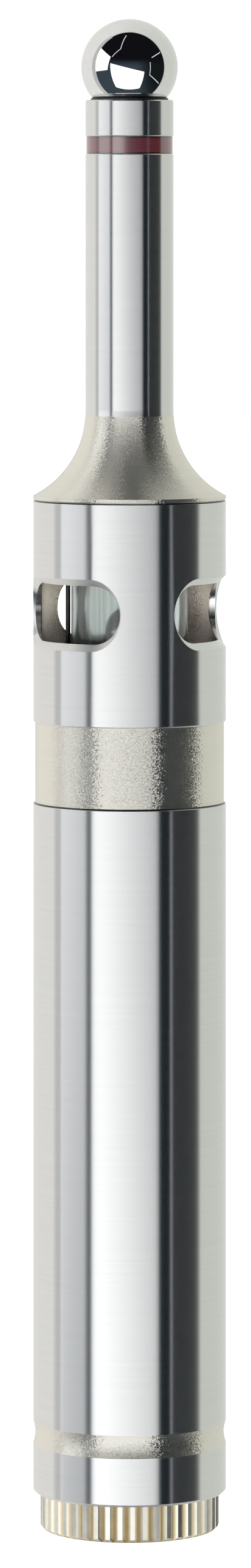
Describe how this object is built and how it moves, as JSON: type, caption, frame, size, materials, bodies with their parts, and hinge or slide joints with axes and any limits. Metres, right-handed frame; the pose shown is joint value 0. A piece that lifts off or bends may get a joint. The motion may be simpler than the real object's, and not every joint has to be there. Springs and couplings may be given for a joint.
{
  "type": "edge finder",
  "caption": "Electronic edge finder with a sprung contact ball, insulated tip, windowed lamp head, straight shank and knurled battery cap.",
  "frame": {"origin": "centre of the battery cap's flat foot, which the instrument stands on", "axes": "+Z along the axis from the battery cap up to the ball; the middle of one window lies 18.9 degrees from +X towards -Y"},
  "size_m": [0.02, 0.02, 0.1565],
  "materials": {
    "ground_steel": "ground and polished hardened steel with sharp reflections",
    "satin_steel": "fine satin steel",
    "ball_steel": "mirror polished ball steel",
    "brass": "pale bright brass with straight knurling",
    "red_plastic": "dusky red insulating plastic, lightly polished",
    "black_plastic": "black moulded plastic",
    "clear_acrylic": "clear polished acrylic",
    "clear_lamp": "water clear epoxy",
    "white_plastic": "natural white insulating plastic",
    "circuit_board": "green lacquered circuit board",
    "chip_black": "black fired chip with tinned ends",
    "wire_cover": "black wire covering",
    "spring_steel": "drawn spring wire",
    "tinned_metal": "dull tinned metal",
    "cell_can": "plain cell jacket with a metal end"
  },
  "bodies": {
    "body": {"shank": "ground_steel", "head": "ground_steel", "stem": "ground_steel", "insulating_ring": "red_plastic", "tip_collar": "ground_steel", "ball_seat": "black_plastic", "insulating_sleeve": "white_plastic", "contact_washer": "tinned_metal", "signal_wire": "wire_cover", "light_tube": "clear_acrylic", "lamp": "clear_lamp", "lamp_leads": "tinned_metal", "lamp_board": "circuit_board", "resistor": "chip_black", "board_plug": "white_plastic", "battery_contact": "tinned_metal", "lower_cell": "cell_can", "upper_cell": "cell_can"},
    "anchor": {"spring_anchor": "satin_steel"},
    "tension_spring": {"ball_spring": "spring_steel"},
    "contact_ball": {"ball": "ball_steel", "ball_stud": "satin_steel"},
    "spring": {"cap_spring": "spring_steel"},
    "cap": {"battery_cap": "brass"}
  },
  "joints": [
    {"name": "ball_turn", "type": "hinge", "parent": "body", "child": "anchor", "pos_m": [0, 0, 0.1206], "axis": [0, 0, 1], "continuous": true},
    {"name": "ball_lift", "type": "slide", "parent": "anchor", "child": "tension_spring", "axis": [0, 0, 1], "range_m": [0, 0.00188], "stiffness_N_per_m": 50, "springref_m": -0.003, "deforming": ["ball_spring"]},
    {"name": "ball_swing", "type": "hinge", "parent": "tension_spring", "child": "contact_ball", "pos_m": [0, 0, 0.14495], "axis": [0, 1, 0], "range_deg": [0, 15]},
    {"name": "cap_travel", "type": "slide", "parent": "body", "child": "spring", "axis": [0, 0, -1], "range_m": [0, 0.005]},
    {"name": "cap_turn", "type": "hinge", "parent": "spring", "child": "cap", "pos_m": [0, 0, 0], "axis": [0, 0, -1], "range_deg": [0, 1800]}
  ],
  "couplings": [
    {"joint": "ball_swing", "follows": "ball_lift", "rad_per_m": 138.89},
    {"joint": "cap_travel", "follows": "cap_turn", "m_per_rad": 0.00015915}
  ]
}
